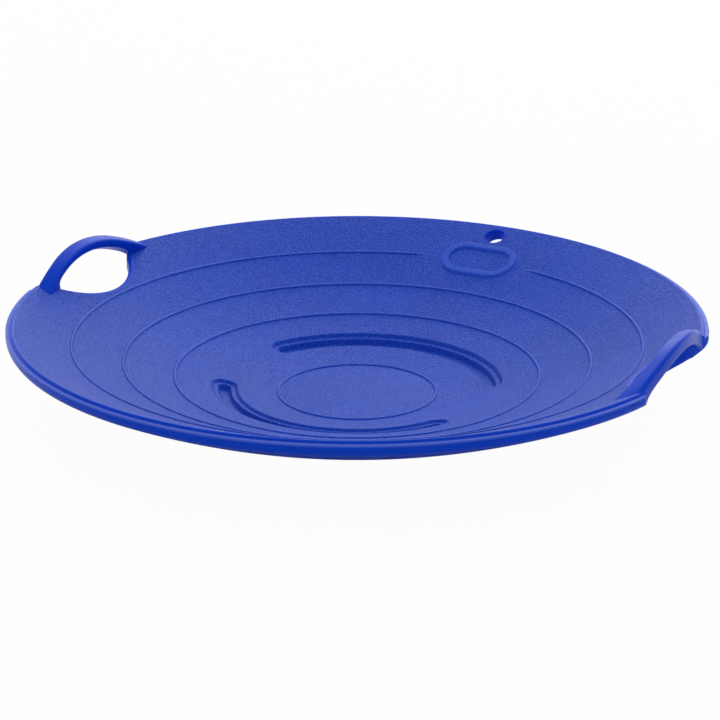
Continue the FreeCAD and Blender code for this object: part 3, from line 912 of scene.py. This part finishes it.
class SLED_OT_running_bottom(bpy.types.Operator):
    """Turns the smooth running bottom and cuts its openings"""

    bl_idname = "sled.running_bottom"
    bl_label = "Running bottom"

    def execute(self, context):
        scene = context.scene
        sizes = scene.sled_dish
        handles = scene.sled_handles
        dish = Dish(sizes)
        circles = [radius for radius in dish.circles(sizes.bottom_seam) if dish.ring_rise(radius) == 0.0]
        outside = [(radius, dish.bottom(radius)) for radius in circles]
        inside = [(radius, dish.bottom(radius) + sizes.wall) for radius in reversed(circles)]
        bottom = turned("running_bottom_skin", outside + inside, sizes.turn_steps)
        for side in SIDES:
            carve(bottom, opening_cutter(dish, handles, side, handles.foot_width))
        carve(bottom, tow_cutter(scene.sled_tow.cut_radius))
        deliver(bottom, smooth_blue(scene.sled_colours), ["running_bottom"])
        return {"FINISHED"}


class SLED_OT_rim(bpy.types.Operator):
    """Turns the rim with its edge, ledge and lower round and cuts it away under the handles"""

    bl_idname = "sled.rim"
    bl_label = "Rim"

    def execute(self, context):
        scene = context.scene
        sizes = scene.sled_dish
        dish = Dish(sizes)
        rim = turned("rim_band", self.section(dish), sizes.turn_steps)
        for side in SIDES:
            carve(rim, flared_cutter(dish, scene.sled_handles, side))
        carve(rim, tow_cutter(scene.sled_tow.cut_radius))
        nodes = ["rim_tow", "rim_front_left", "rim_front_right", "rim_rear"]
        deliver(rim, smooth_blue(scene.sled_colours), nodes)
        return {"FINISHED"}

    def section(self, dish):
        """The closed section, from the deck's seam over the edge and round to the bottom's seam."""
        sizes = dish.sizes
        seam = (sizes.deck_seam, dish.deck(sizes.deck_seam))
        edge = (dish.edge_radius, dish.edge_height)
        ledge_foot = (dish.wide - sizes.ledge_inset, dish.edge_height - sizes.ledge_drop)
        ledge_lip = (ledge_foot[0] + sizes.ledge_width, ledge_foot[1] - sizes.ledge_fall)
        widest = (dish.wide, dish.wide_height)
        radii = (sizes.edge_rounding, sizes.ledge_rounding / 2.0, sizes.ledge_rounding)
        top = rounded_outline([seam, edge, ledge_foot, ledge_lip, widest], radii)
        round_steps = 10
        centre = (dish.round_centre, dish.wide_height)
        lower = arc(centre, dish.round_radius, 0.0, -dish.round_end, round_steps)
        run_steps = 3
        run = [mixed(lower[-1].x, sizes.bottom_seam, step / run_steps) for step in range(1, run_steps + 1)]
        bottom = [Vector((radius, dish.bottom(radius))) for radius in run]
        return top[:-1] + lower + bottom + top[:1]


class SLED_OT_channels(bpy.types.Operator):
    """Sweeps the two stepped channels and lays them in the deck"""

    bl_idname = "sled.channels"
    bl_label = "Channels"

    def execute(self, context):
        scene = context.scene
        sizes = scene.sled_channels
        dish = Dish(scene.sled_dish)
        front = begin("front_channel_trough")
        half = self.half_section(sizes)
        section = [Vector((-point.x, point.y)) for point in half] + half[-2::-1]
        start = about_upright(HALF_TURN / 2.0 - sizes.span / 2.0)
        stop = about_upright(sizes.span) @ start
        across = Vector((sizes.radius, 0.0))
        draw([start @ point for point in upright([across + point for point in section])])
        turn(MIDDLE, UP, sizes.span, sizes.turn_steps)
        self.round_end(front, sizes, stop, HALF_TURN)
        self.round_end(front, sizes, start, -HALF_TURN)
        close_seams(front, upwards)
        lay_on_deck(front, dish)
        thicken(front, scene.sled_dish.wall)
        rear = copied(front, "rear_channel_trough")
        reshape(rear, lambda place: Vector((-place.x, -place.y, place.z)))
        finish = grained_blue(scene.sled_colours)
        deliver(front, finish, ["front_channel"])
        deliver(rear, finish, ["rear_channel"])
        return {"FINISHED"}

    def half_section(self, sizes):
        """From the deck's cut edge down over the ledge to the middle of the floor."""
        corners = [
            (sizes.cut_half_width, 0.0),
            (sizes.mouth_half_width, 0.0),
            (sizes.ledge_outer, -sizes.step_depth),
            (sizes.ledge_inner, -sizes.step_depth),
            (sizes.floor_half_width, -sizes.floor_depth),
            (0.0, -sizes.floor_depth),
        ]
        radii = (sizes.mouth_rounding, sizes.ledge_rounding, sizes.ledge_rounding, sizes.floor_rounding)
        return rounded_outline(corners, radii)

    def round_end(self, channel, sizes, bearing, sweep):
        """Spins the outer half of an end section round the end's centre."""
        centre = bearing @ Vector((sizes.radius, 0.0, 0.0))
        along = bearing @ Vector((1.0, 0.0, 0.0))
        across = bearing @ Vector((0.0, 1.0, 0.0))
        near = 0.01 * MM

        def on_end(place):
            return abs(place.dot(across)) < near and (place - centre).dot(along) > -near

        select_corners(channel, on_end)
        turn(centre, UP, sweep, sizes.end_steps)


class SLED_OT_badge_frame(bpy.types.Operator):
    """Sweeps the oval badge frame and lays it on the deck, bare inside"""

    bl_idname = "sled.badge_frame"
    bl_label = "Badge frame"

    def execute(self, context):
        scene = context.scene
        sizes = scene.sled_tow
        dish = Dish(scene.sled_dish)
        half_border = sizes.badge_border / 2.0
        end_radius = sizes.badge_width / 2.0 - half_border
        run = sizes.badge_length - sizes.badge_width
        middle = dish.wide - sizes.badge_inset
        corners = [
            (-half_border - sizes.badge_skirt, -sizes.badge_sink),
            (-half_border - sizes.badge_skirt, 0.0),
            (-half_border + sizes.badge_slope, sizes.badge_height),
            (half_border - sizes.badge_slope, sizes.badge_height),
            (half_border, 0.0),
            (half_border, -sizes.badge_sink),
        ]
        skirt_share = 0.125
        skirt_rounding = sizes.badge_rounding * skirt_share
        radii = (skirt_rounding, sizes.badge_rounding, sizes.badge_rounding, skirt_rounding)
        section = rounded_outline(corners, radii)
        section.append(section[0])
        right_end = Vector((run / 2.0, middle, 0.0))
        left_end = Vector((-run / 2.0, middle, 0.0))
        badge = begin("badge_border")
        draw([Vector((run / 2.0, middle - end_radius + point.x, point.y)) for point in section])
        end_steps = 32
        run_steps = 6
        turn(right_end, UP, HALF_TURN, end_steps)
        slide(left_end - right_end, run_steps)
        turn(left_end, UP, HALF_TURN, end_steps)
        slide(right_end - left_end, run_steps)
        close_seams(badge)
        lay_on_deck(badge, dish)
        deliver(badge, raised_blue(scene.sled_colours), ["badge_frame"], crease=50.0)
        return {"FINISHED"}


class SLED_OT_tow_hole(bpy.types.Operator):
    """Turns the sleeve that lines the tow hole and fits its lips to the skins"""

    bl_idname = "sled.tow_hole"
    bl_label = "Tow hole"

    def execute(self, context):
        scene = context.scene
        sizes = scene.sled_tow
        dish = Dish(scene.sled_dish)
        depth = TOW_HOLE["dims"]["length_mm"] * MM
        corners = [
            (sizes.lip_radius, 0.0),
            (sizes.hole_radius, 0.0),
            (sizes.hole_radius, -depth),
            (sizes.lip_radius, -depth),
        ]
        outline = rounded_outline(corners, (sizes.lip_rounding, sizes.lip_rounding))
        bore_steps = 72
        sleeve = turned("tow_sleeve", outline, bore_steps, towards(MIDDLE))
        axis = Vector(TOW_HOLE["axis"])
        lean = UP.rotation_difference(axis).to_matrix()
        middle = Vector(TOW_HOLE["pos_m"])
        proud = 0.1 * MM

        def place(corner):
            line = middle + lean @ Vector((corner.x, corner.y, 0.0))
            top = meet(line, axis, dish.deck) + proud
            under = meet(line, axis, dish.bottom) - proud
            return line + axis * mixed(top, under, -corner.z / depth)

        reshape(sleeve, place)
        thicken(sleeve, sizes.sleeve_wall)
        deliver(sleeve, smooth_blue(scene.sled_colours), ["tow_hole_sleeve"])
        return {"FINISHED"}


def meet(line, axis, skin):
    """How far along the axis a line through a point meets a skin."""
    along = 0.0
    tries = 12
    step_share = 0.85
    for _ in range(tries):
        point = line + axis * along
        along -= (point.z - skin(math.hypot(point.x, point.y))) / axis.z * step_share
    return along


class SLED_OT_grip_walls(bpy.types.Operator):
    """Sweeps the rolled lip and wall round each hand opening"""

    bl_idname = "sled.grip_walls"
    bl_label = "Grip walls"

    def execute(self, context):
        scene = context.scene
        sizes = scene.sled_handles
        wall = scene.sled_dish.wall
        dish = Dish(scene.sled_dish)
        plan = HandOpening(dish, sizes)
        depth = dish.deck(sizes.inner_radius) - dish.bottom(sizes.inner_radius)
        right = self.sweep(sizes, plan, depth)
        reshape(right, lambda place: self.flared(place, plan))
        reshape(right, lambda place: self.between_skins(place, dish, depth, plan))
        thicken(right, wall)
        bearing = about_upright(plan.bearing)
        reshape(right, lambda place: bearing @ place)
        left = flipped(copied(right, "left_grip_lip"))
        finish = smooth_blue(scene.sled_colours)
        deliver(right, finish, ["right_grip_wall"])
        deliver(left, finish, ["left_grip_wall"])
        return {"FINISHED"}

    def sweep(self, sizes, plan, depth):
        """The lip and wall round the opening, flat, from one end to the other."""
        inner = plan.centre - sizes.opening_radius
        corners = [
            (inner - sizes.lip_width, 0.0),
            (inner, 0.0),
            (inner, -depth),
            (inner - sizes.foot_width, -depth),
        ]
        centre = Vector((plan.centre, 0.0, 0.0))
        wall = begin("right_grip_lip")
        outline = upright(rounded_outline(corners, (sizes.lip_rounding, sizes.foot_rounding)))
        start = about_upright(plan.wall_sweep)
        draw([centre + start @ (point - centre) for point in outline])
        wall_steps = 96
        turn(centre, UP, -2.0 * plan.wall_sweep, wall_steps)
        close_seams(wall, towards(centre))
        return wall

    def flared(self, place, plan):
        """Lets the wall's ends follow the flare of the opening, a hair proud of the rim."""
        ring = math.hypot(place.x, place.y)
        proud = 0.15 * MM
        widening = max(plan.flare_at(ring) - proud, 0.0)
        return about_upright(math.copysign(widening / ring, place.y)) @ place

    def between_skins(self, place, dish, depth, plan):
        """Lays a flat wall between the deck and the running bottom, its flared ends inside the skins."""
        radius = math.hypot(place.x, place.y)
        most_tuck = 0.3 * MM
        tuck = min(plan.flare_at(radius), most_tuck)
        top = dish.deck(radius) - tuck
        height_share = (top - tuck - dish.bottom(radius)) / depth
        return Vector((place.x, place.y, top + place.z * height_share))


class SLED_OT_handles(bpy.types.Operator):
    """Sweeps the two arched handles over the hand openings"""

    bl_idname = "sled.handles"
    bl_label = "Handles"

    def execute(self, context):
        scene = context.scene
        sizes = scene.sled_handles
        dish = Dish(scene.sled_dish)
        axis_height = dish.edge_height - sizes.arch_drop
        corners = [
            (sizes.inner_radius, axis_height + sizes.inner_top),
            (sizes.outer_radius, axis_height + sizes.outer_top),
            (sizes.outer_radius, axis_height + sizes.outer_under),
            (sizes.inner_radius, axis_height + sizes.inner_under),
        ]
        section = self.with_inner_points(rounded_loop(corners, sizes.rounding))
        axis_point = Vector((0.0, sizes.forward, axis_height))
        across = Vector((1.0, 0.0, 0.0))
        tilt = Matrix.Rotation(sizes.half_span, 3, "X")
        plan = HandOpening(dish, sizes)
        outline = [axis_point + tilt @ (point - axis_point) for point in upright(section, sizes.forward)]
        arches = []
        for name, rear in (("right_arch", sizes.right_rear), ("left_arch", sizes.left_rear)):
            arch = begin(name)
            draw(outline)
            bpy.ops.mesh.edge_face_add()
            turn(axis_point, across, -2.0 * sizes.half_span, sizes.turn_steps)
            close_seams(arch)
            reshape(arch, lambda place: self.settle(place, dish, sizes, plan, axis_height, rear))
            arches.append(arch)
        right, left = arches
        flipped(left)
        finish = smooth_blue(scene.sled_colours)
        deliver(right, finish, ["right_handle"])
        deliver(left, finish, ["left_handle"])
        return {"FINISHED"}

    def with_inner_points(self, section):
        """Adds points up the inner face, for the hollow round at the feet."""
        inner_steps = 10
        start, end = section[-2:]
        return section[:-1] + [start.lerp(end, step / inner_steps) for step in range(1, inner_steps + 1)]

    def settle(self, place, dish, sizes, plan, axis_height, rear):
        """Bends a straight arch to the ring, spreads its feet and brings its underside to the opening."""
        along = place.y - sizes.forward
        height = math.hypot(along, place.z - axis_height)
        across = (place.x - sizes.inner_radius) / (sizes.outer_radius - sizes.inner_radius)
        under = mixed(sizes.inner_under, sizes.outer_under, across)
        over = mixed(sizes.inner_top, sizes.outer_top, across)
        run_out = max(abs(along) - sizes.spread_start, 0.0) / sizes.spread_run
        inner_spread = sizes.inner_spread if along > 0.0 else 0.0
        most_run_out = 1.5
        ring = place.x + mixed(inner_spread, sizes.outer_spread, across) * min(run_out, most_run_out) ** 2
        lifted = place.z + self.lift(along, across, sizes, rear)
        bent = Vector((math.sqrt(max(ring ** 2 - place.y ** 2, 0.0)), place.y, lifted))
        lowered = self.inside_feet(bent, ring, dish, sizes, plan)
        low_share = 0.2
        high_share = 0.8
        bent = lowered.lerp(bent, smooth_step(low_share, high_share, (height - under) / (over - under)))
        clear = 0.3 * MM
        ring = math.hypot(bent.x, bent.y)
        return Vector((bent.x, bent.y, max(bent.z, dish.bottom(ring) + clear)))

    def lift(self, along, across, sizes, rear):
        """How far a leg rises over a true arch, towards the straight line that leaves the arch."""
        start = sizes.straight_start
        if abs(along) <= start:
            return 0.0
        arch = math.sqrt(max(sizes.inner_top ** 2 - along ** 2, 0.0))
        leaving = math.sqrt(sizes.inner_top ** 2 - start ** 2)
        straight = leaving - start / leaving * (abs(along) - start)
        straightness = (sizes.fore if along > 0.0 else rear) * mixed(1.0, sizes.outer_lift, across)
        return straightness * (straight - arch)

    def inside_feet(self, place, ring, dish, sizes, plan):
        """Keeps the underside between the two feet, with a rounded corner at each."""
        sweep = math.atan2(place.y, place.x) - plan.bearing
        along = abs(sweep) * ring
        lean = sizes.foot_lean * max(place.z - dish.deck(ring), 0.0)
        limit = math.asin(plan.half_width(ring) / ring) * ring + sizes.foot_setback + lean
        soft = sizes.foot_rounding_height
        nearness = max(soft - abs(along - limit), 0.0) / soft
        kept = min(along, limit) - nearness ** 2 * soft / 4.0
        bearing = plan.bearing + math.copysign(kept / ring, sweep)
        return Vector((ring * math.cos(bearing), ring * math.sin(bearing), place.z))


class SLED_OT_stage(bpy.types.Operator):
    """Sets up the floor with its backdrop, the lamps, the world and the camera"""

    bl_idname = "sled.stage"
    bl_label = "Stage"

    def execute(self, context):
        scene = context.scene
        sizes = scene.sled_stage
        scene.view_settings.view_transform = "Standard"
        self.floor(sizes)
        self.lamp("key_soft_box", sizes.key_place, sizes.key_power, sizes.key_size)
        self.world(scene, sizes)
        self.camera(scene, sizes)
        return {"FINISHED"}

    def floor(self, sizes):
        """A round floor that rises to a backdrop, plain white to the camera but for the sled's shadow."""
        low = -sizes.floor_gap
        cove_steps = 16
        cove_centre = (sizes.floor_radius, low + sizes.cove_radius)
        cove = arc(cove_centre, sizes.cove_radius, -HALF_TURN / 2.0, 0.0, cove_steps)
        top = Vector((cove[-1].x, sizes.backdrop_height))
        floor_steps = 96
        floor = turned("floor", [Vector((0.0, low))] + cove + [top], floor_steps, upwards)
        make_active(floor)
        bpy.ops.object.shade_smooth()
        material = bpy.data.materials.new("pale_floor")
        finish = Finish(material)
        seen = self.seen_rays(finish, sizes)
        diffuse = finish.node("ShaderNodeBsdfDiffuse", None, {"Color": opaque(sizes.floor_colour)})
        white = finish.node("ShaderNodeEmission", None, {"Color": WHITE, "Strength": 1.0})
        surface = finish.node("ShaderNodeMixShader", None, {0: seen * sizes.floor_glow, 1: diffuse, 2: white})
        finish.node("ShaderNodeOutputMaterial", None, {"Surface": surface})
        floor.data.materials.append(material)
        return floor

    def seen_rays(self, finish, sizes):
        """One for rays from the camera, through glass, and off gloss where the sled's own shade ends."""
        names = ("Is Camera Ray", "Is Glossy Ray", "Is Transmission Ray")
        camera, glossy, transmission = (finish.node("ShaderNodeLightPath", output=name) for name in names)
        place = finish.node("ShaderNodeTexCoord", output="Object")
        away = finish.node("ShaderNodeVectorMath", {"operation": "LENGTH"}, {0: place}, output="Value")
        lit = finish.node(
            "ShaderNodeMapRange", {"clamp": True, "interpolation_type": "SMOOTHSTEP"},
            {"Value": away, "From Min": sizes.shade_inner, "From Max": sizes.shade_outer},
        )
        return camera.larger(transmission).larger(glossy * lit)

    def lamp(self, name, place, power, size):
        """A square soft box that faces the sled."""
        bpy.ops.object.select_all(action="DESELECT")
        facing = (-Vector(place)).to_track_quat("-Z", "Y").to_euler()
        bpy.ops.object.light_add(type="AREA", location=place, rotation=facing)
        lamp = bpy.context.object
        lamp.name = name
        lamp.data.energy = power
        lamp.data.size = size

    def world(self, scene, sizes):
        """Even light from all round."""
        world = bpy.data.worlds.new("studio")
        scene.world = world
        finish = Finish(world)
        light = finish.node("ShaderNodeBackground", None, {"Color": WHITE, "Strength": sizes.world_level})
        finish.node("ShaderNodeOutputWorld", None, {"Surface": light})

    def camera(self, scene, sizes):
        """A long lens at the photograph's viewing angle."""
        place = Vector(sizes.camera_place)
        facing = (Vector(sizes.camera_target) - place).to_track_quat("-Z", "Y").to_euler()
        bpy.ops.object.camera_add(location=place, rotation=facing)
        camera = bpy.context.object
        camera.name = "photo_camera"
        camera.data.lens = sizes.camera_lens
        scene.camera = camera


OPERATORS = (
    SLED_OT_deck,
    SLED_OT_running_bottom,
    SLED_OT_rim,
    SLED_OT_channels,
    SLED_OT_badge_frame,
    SLED_OT_tow_hole,
    SLED_OT_grip_walls,
    SLED_OT_handles,
    SLED_OT_stage,
)
GROUPS = {
    "sled_dish": DishSizes,
    "sled_channels": ChannelSizes,
    "sled_handles": HandleSizes,
    "sled_tow": TowAndBadgeSizes,
    "sled_colours": SledColours,
    "sled_stage": StageSizes,
}


class SLED_PT_sled(bpy.types.Panel):
    """Lists the sled's pieces, sizes and colours"""

    bl_idname = "SLED_PT_sled"
    bl_label = "Saucer sled"
    bl_space_type = "VIEW_3D"
    bl_region_type = "UI"
    bl_category = "Sled"

    def draw(self, context):
        layout = self.layout
        for operator in OPERATORS:
            layout.operator(operator.bl_idname)
        for name, group in GROUPS.items():
            box = layout.box()
            box.label(text=group.__doc__)
            for size in group.__annotations__:
                box.prop(getattr(context.scene, name), size)


def register():
    for name, group in GROUPS.items():
        bpy.utils.register_class(group)
        setattr(bpy.types.Scene, name, PointerProperty(type=group))
    for operator in OPERATORS:
        bpy.utils.register_class(operator)
    bpy.utils.register_class(SLED_PT_sled)


def unregister():
    bpy.utils.unregister_class(SLED_PT_sled)
    for operator in reversed(OPERATORS):
        bpy.utils.unregister_class(operator)
    for name, group in reversed(GROUPS.items()):
        delattr(bpy.types.Scene, name)
        bpy.utils.unregister_class(group)


def main():
    register()
    bpy.ops.sled.deck()
    bpy.ops.sled.running_bottom()
    bpy.ops.sled.rim()
    bpy.ops.sled.channels()
    bpy.ops.sled.badge_frame()
    bpy.ops.sled.tow_hole()
    bpy.ops.sled.grip_walls()
    bpy.ops.sled.handles()
    bpy.ops.sled.stage()


if __name__ == "__main__":
    main()
